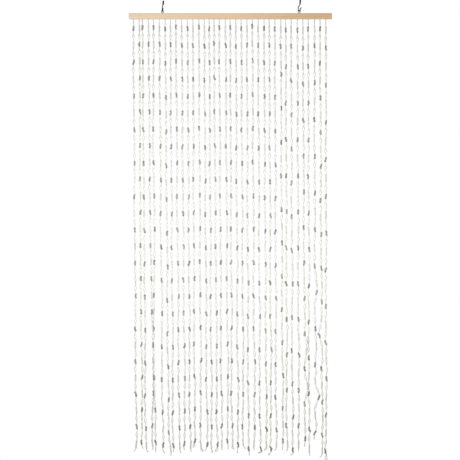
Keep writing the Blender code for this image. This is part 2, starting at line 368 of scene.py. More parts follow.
strings = []  # per strand: the joints that the cord passes through, and the beads between them
for number in range(1, len(strands) + 1):
    row = strands[number - 1]
    beads = beadsOf(number)
    depths = [beads[0][1]] + [bead[2] for bead in beads]
    joints, lean = [], 0.0
    for k, depth in enumerate(depths):
        inside = [0 <= j < len(beads) and beads[j][0] in ("dark", "brown") for j in (k - 1, k)]
        share = depth / row.foot
        if inside[1] and not inside[0]:
            lean = chance.uniform(-1, 1) * (hang["leanTop"] + (hang["leanFoot"] - hang["leanTop"]) * share)
            shift = lean
        else:
            shift = shift - 2 * lean / 3 if inside[0] else 0.0
        play = hang["kinkTop"] + (hang["kinkFoot"] - hang["kinkTop"]) * share
        kink = Vector((chance.uniform(-1, 1) * play + shift, chance.uniform(-1, 1) * play, 0))
        joints.append(hangAt(number, depth, tailLean=False) + kink)
    strings.append((number, joints, beads))
print("beads in all:", sum(len(beads) for _, _, beads in strings))


# Finishes: one material for each sort of bead, the cord, the wood, the steel and the tape

def barkDark():  # stained wooden beads, grey brown, paler where their rims are worn
    made = Surface("stained_bead", Roughness=0.55)
    place = made.attribute("beadPlace", "Vector")
    shade = made.attribute("shade")
    shift = shade * 37.0
    streaks = made.noise(made.stretched(place, (14.0, 14.0, 3.0), shift), 1.0, 4.0, 0.6)
    specks = made.noise(made.stretched(place, (30.0, 30.0, 30.0), shift), 1.0, 2.0)
    tone = (shade * 0.7 + streaks * 0.55 - 0.12).clamped()
    colour = made.blend(tone, (0.185, 0.19, 0.16), (0.46, 0.46, 0.40))
    # Painted shade: near black, stronger right under the batten and towards the foot.
    colour = made.blend(made.attribute("dust"), colour, (0.03, 0.03, 0.02))
    colour = made.blend((made.attribute("rim") ** 2.0 * 0.45).clamped(), colour, (0.44, 0.43, 0.36))
    made.set(Base_Color=colour, Roughness=0.42 + specks * 0.3)
    made.set(Normal=made.relief(streaks + specks * 0.4, 0.35, 0.0004))
    return made


def barkBrown():
    made = Surface("brown_bead", Roughness=0.5)
    place = made.attribute("beadPlace", "Vector")
    shade = made.attribute("shade")
    streaks = made.noise(made.stretched(place, (12.0, 12.0, 2.5), shade * 29.0), 1.0, 4.0, 0.6)
    tone = (shade * 0.5 + streaks * 0.6 - 0.1).clamped()
    made.set(Base_Color=made.blend(tone, (0.26, 0.265, 0.18), (0.52, 0.515, 0.39)))
    made.set(Normal=made.relief(streaks, 0.3, 0.0004))
    return made


def paintedOval():  # white painted wood, with the grain just showing
    made = Surface("white_bead", Coat_Weight=0.25, Coat_Roughness=0.25)
    place = made.attribute("beadPlace", "Vector")
    shade = made.attribute("shade")
    streaks = made.noise(made.stretched(place, (10.0, 10.0, 1.6), shade * 41.0), 1.0, 3.0, 0.6)
    colour = made.blend(streaks, (0.81, 0.82, 0.76), (0.90, 0.91, 0.86))
    # Painted shade: grey, stronger right under the batten and towards the foot.
    colour = made.blend(made.attribute("dust"), colour, (0.52, 0.53, 0.50))
    colour = made.blend((made.attribute("rim") ** 3.0 * 0.6).clamped(), colour, (0.55, 0.50, 0.40))
    made.set(Base_Color=colour, Roughness=0.34 + streaks * 0.15)
    made.set(Normal=made.relief(streaks, 0.2, 0.0003))
    return made


def paleSplint():  # slim pieces of pale bamboo
    made = Surface("pale_splint", Roughness=0.5)
    place = made.attribute("beadPlace", "Vector")
    shade = made.attribute("shade")
    fibres = made.noise(made.stretched(place, (26.0, 26.0, 1.2), shade * 53.0), 1.0, 3.0, 0.55)
    tone = (shade * 0.75 + fibres * 0.4 - 0.05).clamped()
    colour = made.blend(tone, (0.71, 0.72, 0.65), (0.91, 0.92, 0.86))
    colour = made.blend((made.attribute("rim") ** 4.0 * 0.55).clamped(), colour, (0.26, 0.26, 0.22))
    # Painted shade: grey, stronger right under the batten and towards the foot.
    colour = made.blend(made.attribute("dust"), colour, (0.34, 0.35, 0.34))
    made.set(Base_Color=colour)
    made.set(Normal=made.relief(fibres, 0.25, 0.0003))
    return made


def oliveBamboo():  # lengths of thin bamboo, green grey, with long fibres
    made = Surface("olive_bamboo", Roughness=0.42, Coat_Weight=0.1)
    place = made.attribute("beadPlace", "Vector")
    shade = made.attribute("shade")
    fibres = made.noise(made.stretched(place, (30.0, 30.0, 1.6), shade * 61.0), 1.0, 4.0, 0.6)
    bands = made.noise(made.stretched(place, (3.0, 3.0, 2.2), shade * 17.0), 1.0, 2.0)
    tone = (shade * 0.5 + fibres * 0.35 + bands * 0.3 - 0.1).clamped()
    colour = made.blend(tone, (0.55, 0.57, 0.46), (0.87, 0.88, 0.79))
    colour = made.blend((made.attribute("rim") ** 2.0 * 0.4).clamped(), colour, (0.52, 0.51, 0.42))
    # Painted shade: dark olive, stronger right under the batten and towards the foot.
    colour = made.blend(made.attribute("dust"), colour, (0.30, 0.33, 0.22))
    made.set(Base_Color=colour, Roughness=0.36 + fibres * 0.2)
    made.set(Normal=made.relief(fibres, 0.3, 0.0003))
    return made


def twistedCord():  # two plies that wind round each other once in windLength
    windLength = 0.0042
    thinCord = 0.0008  # a cord with a half thickness over this is a loose end, and paler
    made = Surface("pale_cord", Roughness=0.85)
    around = made.attribute("around", "Vector")
    side = made.add("ShaderNodeSeparateXYZ", values={0: around}, output="X")
    front = made.add("ShaderNodeSeparateXYZ", values={0: around}, output="Y")
    wound = made.attribute("along") * (2 * math.pi / windLength)
    cosine, sine = wound.maths("COSINE", wound), wound.maths("SINE", wound)
    plies = 2 * side * front * cosine + (side * side - front * front) * sine
    ridge = (plies * 0.5 + 0.5).clamped()
    loose = ((made.attribute("thick") - thinCord) * 1500.0).clamped()
    # Painted shade: the cord is painted darker in the grooves between the two plies and paler on their
    # crests.
    dark = made.blend(loose, (0.26, 0.26, 0.24), (0.40, 0.41, 0.37))
    pale = made.blend(loose, (0.44, 0.44, 0.41), (0.62, 0.62, 0.57))
    made.set(Base_Color=made.blend(ridge, dark, pale))
    made.set(Normal=made.relief(ridge, 0.6, 0.0003))
    return made


def planedWood():  # pale softwood, the grain along the batten
    bandWidth = 0.0088
    made = Surface("planed_wood", Roughness=0.5)
    place = made.add("ShaderNodeTexCoord", output="Object")
    warp = made.noise(made.stretched(place, (2.2, 9.0, 9.0)), 1.0, 2.0)
    bent = made.add("ShaderNodeVectorMath", {"operation": "MULTIPLY_ADD"},
                    {0: warp, 1: (0.0, 0.030, 0.030), 2: place})
    rings = made.noise(made.stretched(bent, (1.6, 95.0, 95.0)), 1.0, 3.0, 0.55)
    fibres = made.noise(made.stretched(place, (9.0, 620.0, 620.0)), 1.0, 3.0, 0.6)
    pores = made.noise(made.stretched(place, (55.0, 1500.0, 1500.0)), 1.0, 2.0)
    apart = made.add("ShaderNodeSeparateXYZ", values={0: place}, output="X")
    up = made.add("ShaderNodeSeparateXYZ", values={0: place}, output="Z")
    wave = up * (2 * math.pi / bandWidth) + warp * 2.4 + 1.1
    band = wave.maths("SINE", wave) * 0.5 + 0.5
    # Painted shade: the wood is painted paler at the batten's left end and darker towards its right, as
    # light falls from the left.
    right = (apart * 1.25 + 0.56).clamped()
    pale = made.blend(right, (0.89, 0.72, 0.52), (0.73, 0.50, 0.30))
    deep = made.blend(right, (0.74, 0.56, 0.375), (0.57, 0.35, 0.18))
    grain = made.add("ShaderNodeMapRange", {"clamp": True},
                     {"Value": rings, "From Min": 0.38, "From Max": 0.68, "To Min": 0.0, "To Max": 1.0})
    colour = made.blend((grain * 0.35 + band * 0.5 + fibres * 0.35 - 0.08).clamped(), pale, deep)
    colour = made.blend(((pores - 0.55) * 1.6).clamped(), colour, (0.36, 0.22, 0.11))
    made.set(Base_Color=colour, Roughness=0.45 + fibres * 0.2)
    made.set(Normal=made.relief(grain * 0.5 + fibres + pores * 0.5, 0.25, 0.0003))
    return made


def blackSteel():  # black finish, a little worn and dusty
    made = Surface("black_steel", Metallic=0.0, Specular_IOR_Level=0.2)
    place = made.add("ShaderNodeTexCoord", output="Object")
    patches = made.noise(made.stretched(place, (260.0, 260.0, 260.0)), 1.0, 4.0, 0.6)
    fine = made.noise(made.stretched(place, (1400.0, 1400.0, 1400.0)), 1.0, 2.0)
    wear = ((patches - 0.6) * 4.0).clamped()
    made.set(Base_Color=made.blend(wear, (0.004, 0.004, 0.0045), (0.022, 0.021, 0.02)))
    made.set(Roughness=0.42 + patches * 0.25)
    made.set(Normal=made.relief(fine, 0.2, 0.0002))
    return made


def webbing():  # the narrow woven tape that the cords come out of
    made = Surface("woven_tape", Roughness=0.9)
    place = made.add("ShaderNodeTexCoord", output="Object")
    weave = made.add("ShaderNodeTexChecker", {}, {"Vector": place, "Scale": 1400.0}, output="Fac")
    made.set(Base_Color=made.blend(weave, (0.55, 0.50, 0.42), (0.66, 0.61, 0.53)))
    made.set(Normal=made.relief(weave, 0.3, 0.0002))
    return made


finishes = {
    "dark": barkDark(),
    "brown": barkBrown(),
    "oval": paintedOval(),
    "slim": paleSplint(),
    "tube": oliveBamboo(),
    "cord": twistedCord(),
    "wood": planedWood(),
    "steel": blackSteel(),
    "tape": webbing(),
}
print("finishes made:", len(finishes))


# Bead shapes: turned profiles of half widths up one bead, on a length and a width of 1

beadShapes = {
    "dark": {
        "sides": 9,
        "lump": 0.06,
        "offCentre": 0.11,
        "profiles": [
            [(0.13, -0.42), (0.17, -0.50), (0.38, -0.47), (0.49, -0.20),
             (0.50, 0.18), (0.38, 0.46), (0.17, 0.50), (0.13, 0.42)],
            [(0.13, -0.42), (0.17, -0.50), (0.43, -0.48), (0.48, -0.34),
             (0.48, 0.26), (0.40, 0.48), (0.17, 0.50), (0.13, 0.42)],
            [(0.13, -0.42), (0.16, -0.50), (0.30, -0.48), (0.47, -0.16),
             (0.48, 0.12), (0.31, 0.48), (0.16, 0.50), (0.13, 0.42)],
        ],
    },
    "brown": {
        "sides": 9,
        "lump": 0.04,
        "offCentre": 0.08,
        "profiles": [
            [(0.13, -0.42), (0.17, -0.50), (0.42, -0.48), (0.49, -0.34),
             (0.48, 0.32), (0.40, 0.48), (0.17, 0.50), (0.13, 0.42)],
        ],
    },
    "oval": {
        "sides": 10,
        "lump": 0.015,
        "offCentre": 0.0,
        "profiles": [
            [(0.11, -0.46), (0.14, -0.50), (0.33, -0.41), (0.47, -0.19),
             (0.47, 0.19), (0.33, 0.41), (0.14, 0.50), (0.11, 0.46)],
            [(0.11, -0.46), (0.14, -0.50), (0.36, -0.40), (0.49, -0.13),
             (0.45, 0.23), (0.30, 0.42), (0.14, 0.50), (0.11, 0.46)],
        ],
    },
    "slim": {
        "sides": 7,
        "lump": 0.05,
        "offCentre": 0.05,
        "profiles": [
            [(0.22, -0.46), (0.38, -0.50), (0.49, -0.44), (0.47, 0.05),
             (0.50, 0.43), (0.38, 0.50), (0.22, 0.46)],
        ],
    },
    "tube": {
        "sides": 8,
        "lump": 0.03,
        "offCentre": 0.03,
        "profiles": [
            [(0.26, -0.47), (0.28, -0.50), (0.47, -0.496), (0.50, -0.48), (0.48, 0.05),
             (0.50, 0.48), (0.47, 0.496), (0.28, 0.50), (0.26, 0.47)],
            [(0.26, -0.47), (0.28, -0.50), (0.48, -0.49), (0.48, 0.10), (0.54, 0.13),
             (0.47, 0.16), (0.48, 0.49), (0.28, 0.50), (0.26, 0.47)],
        ],
    },
}


turning = {
    "hole": 0.27,         # rings narrower than this lie round the hole
    "rimStart": 0.30,     # wear grows from this height to the bead's end
    "rimReach": 0.19,
    "sharp": math.radians(58),
}


# A bead turned from its profile, a little out of round, with its rim marked for wear.
def turnedBead(name, profile, sides, lump, offCentre, phase):
    mesh = bpy.data.meshes.new(name)
    bm = bmesh.new()
    rim = bm.verts.layers.float.new("rim")
    place = bm.verts.layers.float_vector.new("beadPlace")
    rings = []
    for radius, height in profile:
        ring = []
        for k in range(sides):
            angle = 2 * math.pi * k / sides
            wave = math.sin(2 * angle + phase) + 0.6 * math.sin(3 * angle + 7 * height + phase)
            uneven = 1 + lump * wave
            body = radius > turning["hole"]  # the rings round the hole stay round and on the cord
            across = radius * (uneven if body else 1.0)
            shift = offCentre if body else 0.0
            vert = bm.verts.new((across * math.cos(angle) + shift, across * math.sin(angle), height))
            worn = (abs(height) - turning["rimStart"]) / turning["rimReach"]
            vert[rim] = min(1.0, max(0.0, worn))
            vert[place] = vert.co
            ring.append(vert)
        rings.append(ring)
    for lower, upper in zip(rings, rings[1:]):
        for k in range(sides):
            j = (k + 1) % sides
            bm.faces.new((lower[k], lower[j], upper[j], upper[k]))
    bm.faces.new(list(reversed(rings[0])))
    bm.faces.new(rings[-1])
    bm.to_mesh(mesh)
    bm.free()
    mesh.shade_smooth()
    mesh.set_sharp_from_angle(angle=turning["sharp"])
    return bpy.data.objects.new(name, mesh)


# Puts a bead on each point: its axis, size and spin come from the point.
def makeBeadTree():
    tree = bpy.data.node_groups.new("beadsOnPoints", "GeometryNodeTree")
    inputs = {
        "Points": addInput(tree, "Points", "NodeSocketGeometry"),
        "Bead": addInput(tree, "Bead", "NodeSocketObject"),
        "Width": addInput(tree, "Width", "NodeSocketFloat", 1.0),
        "Length": addInput(tree, "Length", "NodeSocketFloat", 1.0),
        "Seed": addInput(tree, "Seed", "NodeSocketInt", 5),
        "Finish": addInput(tree, "Finish", "NodeSocketMaterial"),
    }
    tree.interface.new_socket("Beads", in_out="OUTPUT", socket_type="NodeSocketGeometry")
    start = tree.nodes.new("NodeGroupInput").outputs
    points = chain(tree, "GeometryNodeMeshToPoints", values={"Mesh": start["Points"]})
    bead = chain(tree, "GeometryNodeObjectInfo", values={"Object": start["Bead"]})
    axis = chain(tree, "GeometryNodeInputNamedAttribute", {"data_type": "FLOAT_VECTOR"}, {"Name": "axis"})
    size = chain(tree, "GeometryNodeInputNamedAttribute", {"data_type": "FLOAT_VECTOR"}, {"Name": "size"})
    turned = chain(tree, "FunctionNodeAlignRotationToVector", {"axis": "Z"},
                   {"Vector": axis.outputs["Attribute"]})
    spin = chain(tree, "FunctionNodeRandomValue", {"data_type": "FLOAT"}, {"Seed": start["Seed"]})
    spin.inputs[3].default_value = 2 * math.pi
    about = chain(tree, "FunctionNodeAxisAngleToRotation",
                  values={"Axis": (0, 0, 1), "Angle": spin.outputs[1]})
    facing = chain(tree, "FunctionNodeRotateRotation", {"rotation_space": "LOCAL"},
                   {"Rotation": turned.outputs[0], "Rotate By": about.outputs[0]})
    nominal = chain(tree, "ShaderNodeCombineXYZ",
                    values={"X": start["Width"], "Y": start["Width"], "Z": start["Length"]})
    scale = chain(tree, "ShaderNodeVectorMath", {"operation": "MULTIPLY"},
                  {0: nominal.outputs[0], 1: size.outputs["Attribute"]})
    placed = chain(tree, "GeometryNodeInstanceOnPoints",
                   values={"Points": points.outputs[0], "Instance": bead.outputs["Geometry"],
                           "Rotation": facing.outputs[0], "Scale": scale.outputs[0]})
    real = chain(tree, "GeometryNodeRealizeInstances", values={"Geometry": placed.outputs[0]})
    finished = chain(tree, "GeometryNodeSetMaterial",
                     values={"Geometry": real.outputs[0], "Material": start["Finish"]})
    end = tree.nodes.new("NodeGroupOutput")
    tree.links.new(finished.outputs[0], end.inputs[0])
    return tree, inputs


# Loose points that carry an attribute for each column.
def pointObject(name, places, **columns):
    mesh = bpy.data.meshes.new(name)
    mesh.from_pydata([tuple(p) for p in places], [], [])
    for column, values in columns.items():
        vector = isinstance(values[0], Vector)
        layer = mesh.attributes.new(column, "FLOAT_VECTOR" if vector else "FLOAT", "POINT")
        flat = np.array([tuple(v) for v in values] if vector else values, dtype=np.float32).ravel()
        layer.data.foreach_set("vector" if vector else "value", flat)
    obj = bpy.data.objects.new(name, mesh)
    scene.collection.objects.link(obj)
    return obj


beadTree, beadInputs = makeBeadTree()


fitting = {
    "gap": 0.35,          # left between two beads on their cord
    "plump": 0.09,        # how far the beads' widths vary
    "flat": 0.06,         # and how far they are out of round
    "nodeShare": 0.25,    # of the tubes, those with a node of the bamboo
}


# One piece with every bead of a kind and shape, from rows of start, end and shade.
def threadBeads(kind, variant, rows):
    shape = beadShapes[kind]
    length, width = beadSizes[kind]
    bead = turnedBead(f"{kind}Bead{variant}", shape["profiles"][variant], shape["sides"], shape["lump"],
                      shape["offCentre"], 1.7 * variant)
    places, axes, sizes, shades, paintedShades = [], [], [], [], []
    for start, end, shade in rows:
        along = end - start
        places.append((start + end) / 2 * mm)
        axes.append(along.normalized())
        stretch = (along.length - fitting["gap"]) / length
        plump = 1 + fitting["plump"] * (chance.random() - 0.5)
        flat = 1 + fitting["flat"] * (chance.random() - 0.5)
        sizes.append(Vector((plump, plump * flat, stretch)))
        shades.append(shade)
        # Each bead gets its painted shade from the depth of its middle.
        paintedShades.append(paintedShadeAt(hang["underside"] - (start.z + end.z) / 2))
    points = pointObject(f"{kind}Points{variant}", places, axis=axes, size=sizes, shade=shades, dust=paintedShades)
    grower = points.modifiers.new("beads", "NODES")
    grower.node_group = beadTree
    grower[beadInputs["Bead"]] = bead
    grower[beadInputs["Width"]] = width * mm
    grower[beadInputs["Length"]] = length * mm
    grower[beadInputs["Seed"]] = 11 + 7 * variant
    grower[beadInputs["Finish"]] = finishes[kind].material
    piece = plainMesh(f"{kind}_beads_{variant + 1}", points, finishes[kind], "strands")
    shapeMesh = bead.data
    bpy.data.objects.remove(bead)
    bpy.data.meshes.remove(shapeMesh)
    return piece


print("threading beads")
rowsByKind = {}
for number, joints, beads in strings:
    for k, (kind, start, end) in enumerate(beads):
        variants = len(beadShapes[kind]["profiles"])
        variant = chance.randrange(variants)
        if kind == "tube":
            variant = 1 if chance.random() < fitting["nodeShare"] else 0
        shade = chance.random()
        rowsByKind.setdefault((kind, variant), []).append((joints[k], joints[k + 1], shade))
for (kind, variant), rows in sorted(rowsByKind.items()):
    threadBeads(kind, variant, rows)


# Cords through the beads, and their loose ends

cordSizes = {
    "radius": 0.65,       # the cord between beads
    "tailRadius": 2.0,    # the doubled, knotted end
    "sides": 6,
    "loop": 4.6,          # half width of a looped end
    "looseSides": 8,
    "rootRise": 0.9,      # how far a cord reaches up into the groove
    "knotDrop": 0.6,      # from the last bead down to a knot's middle
    "knotRadius": 1.44,
    "knotSteps": 24,
}


# Sweeps a round section along each line, as thick as the line's points say.
def makeCordTree():
    tree = bpy.data.node_groups.new("cordAlongLines", "GeometryNodeTree")
    inputs = {
        "Lines": addInput(tree, "Lines", "NodeSocketGeometry"),
        "Thickness": addInput(tree, "Thickness", "NodeSocketFloat", 1.0),
        "Sides": addInput(tree, "Sides", "NodeSocketInt", 6),
        "Finish": addInput(tree, "Finish", "NodeSocketMaterial"),
    }
    tree.interface.new_socket("Cords", in_out="OUTPUT", socket_type="NodeSocketGeometry")
    start = tree.nodes.new("NodeGroupInput").outputs
    curves = chain(tree, "GeometryNodeMeshToCurve", values={"Mesh": start["Lines"]})
    thick = chain(tree, "GeometryNodeInputNamedAttribute", {"data_type": "FLOAT"}, {"Name": "thick"})
    radius = chain(tree, "ShaderNodeMath", {"operation": "MULTIPLY"},
                   {0: thick.outputs["Attribute"], 1: start["Thickness"]})
    ring = chain(tree, "GeometryNodeCurvePrimitiveCircle",
                 values={"Resolution": start["Sides"], "Radius": 1.0})
    length = chain(tree, "GeometryNodeSplineParameter")
    place = chain(tree, "GeometryNodeInputPosition")
    measured = chain(tree, "GeometryNodeStoreNamedAttribute", {"data_type": "FLOAT", "domain": "POINT"},
                     {"Geometry": curves.outputs[0], "Name": "along", "Value": length.outputs["Length"]})
    marked = chain(tree, "GeometryNodeStoreNamedAttribute",
                   {"data_type": "FLOAT_VECTOR", "domain": "POINT"},
                   {"Geometry": ring.outputs[0], "Name": "around", "Value": place.outputs[0]})
    body = chain(tree, "GeometryNodeCurveToMesh",
                 values={"Curve": measured.outputs[0], "Profile Curve": marked.outputs[0],
                         "Scale": radius.outputs[0], "Fill Caps": True})
    smooth = chain(tree, "GeometryNodeSetShadeSmooth", values={"Geometry": body.outputs[0]})
    real = chain(tree, "GeometryNodeRealizeInstances", values={"Geometry": smooth.outputs[0]})
    finished = chain(tree, "GeometryNodeSetMaterial",
                     values={"Geometry": real.outputs[0], "Material": start["Finish"]})
    end = tree.nodes.new("NodeGroupOutput")
    tree.links.new(finished.outputs[0], end.inputs[0])
    return tree, inputs


cordTree, cordInputs = makeCordTree()


# One piece from many lines of (place in mm, half thickness in mm).
def sweepLines(name, lines, sides, finish, node):
    places, edges, thick = [], [], []
    for line in lines:
        first = len(places)
        places += [point * mm for point, _ in line]
        thick += [half * mm for _, half in line]
        edges += [(first + k, first + k + 1) for k in range(len(line) - 1)]
    mesh = bpy.data.meshes.new(name + "Lines")
    mesh.from_pydata([tuple(p) for p in places], edges, [])
    layer = mesh.attributes.new("thick", "FLOAT", "POINT")
    layer.data.foreach_set("value", np.array(thick, dtype=np.float32))
    obj = bpy.data.objects.new(name + "Lines", mesh)
    scene.collection.objects.link(obj)
    sweeper = obj.modifiers.new("sweep", "NODES")
    sweeper.node_group = cordTree
    sweeper[cordInputs["Thickness"]] = 1.0
    sweeper[cordInputs["Sides"]] = sides
    sweeper[cordInputs["Finish"]] = finish.material
    return plainMesh(name, obj, finish, node)


# A smooth line through the points.
def rounded(points, steps):
    ends = [2 * points[0] - points[1]] + points + [2 * points[-1] - points[-2]]
    line = []
    for a, b, c, d in zip(ends, ends[1:], ends[2:], ends[3:]):
        for i in range(steps):
            t = i / steps
            line.append(0.5 * (2 * b + (c - a) * t + (2 * a - 5 * b + 4 * c - d) * t**2
                               + (3 * b - a - 3 * c + d) * t**3))
    line.append(points[-1])
    return line


# The loose end below a strand's last bead: straight, bent, curled, looped or knotted.
def tailLine(number, top):
    row = strands[number - 1]
    foot = hangAt(number, row.foot - cordSizes["tailRadius"])
    drop = foot - top
    side = math.copysign(1.0, row.tail) if row.tail else 1.0
    half = cordSizes["loop"]
    across = Vector((side, 0.25, 0))
    if row.end == "loop":
        length = -drop.z
        line = [top, top + Vector((-0.3 * half * side, 0, -0.30 * length)),
                top + drop * 0.62 - across * half, top + drop * 0.93 - across * 0.55 * half,
                foot + across * 0.3 * half, top + drop * 0.80 + across * half,
                top + drop * 0.45 + across * 0.55 * half, top + drop * 0.12 + across * 0.35 * half]
    elif row.end == "curl":
        line = [top, top + drop * 0.45 + across, foot - across * 1.5,
                foot + across * 2.2 + Vector((0, 0, 2.2)), foot + across * 3.2 + Vector((0, 0, 6.0))]
    elif row.end == "bent":
        line = [top, top + Vector((0.15 * drop.x, 0.4, 0.42 * drop.z)),
                top + Vector((0.5 * drop.x, 0, 0.78 * drop.z)), foot]
    else:
        line = [top, top + drop * 0.35 + across * 0.5, top + drop * 0.7 - across * 0.5, foot]
    smooth = rounded(line, 5)
    thickness = cordSizes["tailRadius"]
    made = []
    for k, point in enumerate(smooth):
        share = k / (len(smooth) - 1)
        fray = 0.75 + 0.35 * share + 0.08 * math.sin(9 * share + number)
        made.append((point, thickness * fray * (0.85 if row.end == "loop" else 1.0)))
    return made


print("running cords")
cordLines, tailLines, knotRows = [], [], []
for number, joints, _ in strings:
    row = strands[number - 1]
    root = hangAt(number, 0) + Vector((0, 0, cordSizes["rootRise"]))
    cordLines.append([(point, cordSizes["radius"]) for point in [root] + joints])
    tailLines.append(tailLine(number, joints[-1]))
    knotRows.append((joints[-1] - Vector((0, 0, cordSizes["knotDrop"])), row.end))
sweepLines("cords", cordLines, cordSizes["sides"], finishes["cord"], "strands")
sweepLines("cord_ends", tailLines, cordSizes["looseSides"], finishes["cord"], "strands")


# A small overhand knot, drawn as one closed turn over itself.
def knotLine(middle, size, turn):
    line = []
    for k in range(cordSizes["knotSteps"] + 1):
        t = 2 * math.pi * k / cordSizes["knotSteps"]
        x = math.sin(t) + 2 * math.sin(2 * t)
        y = math.cos(t) - 2 * math.cos(2 * t)
        spot = Matrix.Rotation(turn, 3, "Z") @ Vector((x * size, -math.sin(3 * t) * size, y * size))
        line.append((middle + spot, cordSizes["knotRadius"]))
    return line


knots = [knotLine(place, 1.15 if end == "knot" else 0.8, k) for k, (place, end) in enumerate(knotRows)]
sweepLines("knots", knots, cordSizes["sides"], finishes["cord"], "strands")


# The tape in the batten's groove

tapeSizes = {"length": 880.0, "width": 6.0, "low": -12.7, "high": -11.1, "edge": 0.35, "step": 10.0}


def makeTape():
    half, wide = tapeSizes["length"] / 2, tapeSizes["width"] / 2
    low, high, edge = tapeSizes["low"], tapeSizes["high"], tapeSizes["edge"]
    outline = [(-wide + edge, low), (wide - edge, low), (wide, low + edge), (wide, high - edge),
               (wide - edge, high), (-wide + edge, high), (-wide, high - edge), (-wide, low + edge)]
    bm = bmesh.new()
    rings = []
    for k in range(int(2 * half / tapeSizes["step"]) + 1):
        x = -half + k * tapeSizes["step"]
        sag = 0.08 * math.sin(x * 0.07)
        rings.append([bm.verts.new((x * mm, (y + hang["plane"]) * mm, (z + sag) * mm)) for y, z in outline])
    for one, other in zip(rings, rings[1:]):
        for k in range(len(outline)):
            j = (k + 1) % len(outline)
            bm.faces.new((one[k], one[j], other[j], other[k]))
    bm.faces.new(rings[0])
    bm.faces.new(rings[-1])
    bmesh.ops.recalc_face_normals(bm, faces=bm.faces)
    mesh = bpy.data.meshes.new("backing_tape")
    bm.to_mesh(mesh)
    bm.free()
    return finishPiece("backing_tape", mesh, finishes["tape"], "strands")


makeTape()


# The batten keeps its solid and gets its grain

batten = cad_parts["batten"]
batten.data.materials.clear()
batten.data.materials.append(finishes["wood"].material)


# Screw hooks and screw eyes

HookPoint = namedtuple("HookPoint", "side rise")
hookLine = [
    HookPoint(10.5, 19.0),
    HookPoint(8.0, 15.0),
    HookPoint(6.0, 10.5),
    HookPoint(5.4, 6.0),
    HookPoint(3.6, 1.8),
    HookPoint(0.0, 0.0),
    HookPoint(-3.8, 1.8),
    HookPoint(-5.8, 6.5),
    HookPoint(-6.2, 12.0),
    HookPoint(-5.2, 18.0),
    HookPoint(-2.0, 24.0),
    HookPoint(1.5, 28.0),
    HookPoint(2.9, 31.5),
]
Hanger = namedtuple("Hanger", "name x hookYaw eyeYaw leanRight leanFront")
hangers = [
    Hanger("left", -301, -75, -51, 6, 36),
    Hanger("right", 305, 35, 58, 3, 0),
]
hookSizes = {
    "battenTop": 13.0,
    "gap": 0.6,           # between the bowl and the eye that hangs in it
    "wire": 2.1,
    "tip": 1.45,
    "shankSide": 2.9,
    "shankStart": 33.5,
    "shankTop": 52.0,
    "core": 3.2,
    "crest": 3.8,
    "threadPitch": 2.3,
    "threadSteps": 8,     # rings of points in one turn of the thread
    "runOut": 2.0,        # the thread fades over this at both ends
    "bendSteps": 6,
    "sides": 14,
}
eyeSizes = {
    "radius": 5.75,
    "wire": 1.3,
    "centre": 7.6,
    "neck": [(0.3, 1.35), (0.9, 1.35), (1.3, 1.25)],  # height and radius
    "start": math.radians(6),
    "sweep": math.radians(342),
    "sides": 10,
    "around": 44,
}
hookSizes["seat"] = (hookSizes["battenTop"] + eyeSizes["centre"] + eyeSizes["radius"]
                     - eyeSizes["wire"] - hookSizes["wire"] - hookSizes["gap"])


# Rings of points round the centres, joined into a closed skin.
def loft(bm, centres, frames, radiusAt, sides):
    rings = []
    for i, (centre, (one, other)) in enumerate(zip(centres, frames)):
        ring = []
        for k in range(sides):
            angle = 2 * math.pi * k / sides
            reach = radiusAt(i, angle)
            ring.append(bm.verts.new(centre + reach * (math.cos(angle) * one + math.sin(angle) * other)))
        rings.append(ring)
    for lower, upper in zip(rings, rings[1:]):
        for k in range(sides):
            j = (k + 1) % sides
            bm.faces.new((lower[k], lower[j], upper[j], upper[k]))
    bm.faces.new(rings[0])
    bm.faces.new(rings[-1])


def makeHook(hanger):
    points = [Vector((p.side, 0, p.rise)) for p in hookLine]
    line = rounded(points, hookSizes["bendSteps"])
    radii = [hookSizes["tip"], hookSizes["tip"] * 1.35] + [hookSizes["wire"]] * (len(line) - 2)
    across = Vector((0, 1, 0))
    frames = []
    for i in range(len(line)):
        ahead = (line[min(i + 1, len(line) - 1)] - line[max(i - 1, 0)]).normalized()
        frames.append((ahead.cross(across), across))
    turn = (Matrix.Rotation(math.radians(hanger.leanFront), 3, "X")
            @ Matrix.Rotation(math.radians(hanger.leanRight), 3, "Y")
            @ Matrix.Rotation(math.radians(hanger.hookYaw), 3, "Z"))
    shaft = []
    start, top = hookSizes["shankStart"], hookSizes["shankTop"]
    steps = int((top - start) / hookSizes["threadPitch"] * hookSizes["threadSteps"])
    for k in range(steps + 1):
        shaft.append(Vector((hookSizes["shankSide"], 0, start + (top - start) * k / steps)))
    frames += [(Vector((1, 0, 0)), across)] * len(shaft)
    wireCount = len(line)
    rise = [point.z for point in line + shaft]

    def radiusAt(i, angle):
        if i < wireCount:
            return radii[i]
        height = rise[i]
        ridge = abs(2 * (((height / hookSizes["threadPitch"]) - angle / (2 * math.pi)) % 1.0) - 1)
        below, above = (height - start) / hookSizes["runOut"], (top - height) / hookSizes["runOut"]
        ease = min(1.0, below + 0.25, above + 0.05)
        return hookSizes["core"] + (hookSizes["crest"] - hookSizes["core"]) * (1 - ridge) ** 0.8 * ease

    bm = bmesh.new()
    loft(bm, line + shaft, frames, radiusAt, hookSizes["sides"])
    lowest = min((turn @ point for point in line), key=lambda point: point.z)
    seat = Vector((hanger.x, hang["plane"], hookSizes["seat"]))
    for vert in bm.verts:
        vert.co = (turn @ vert.co + seat - lowest) * mm
    bmesh.ops.recalc_face_normals(bm, faces=bm.faces)
    mesh = bpy.data.meshes.new("hook")
    bm.to_mesh(mesh)
    bm.free()
    mesh.shade_smooth()
    mesh.set_sharp_from_angle(angle=math.radians(60))
    return finishPiece(f"screw_hook_{hanger.name}", mesh, finishes["steel"],
                       f"hook_{hanger.name}")


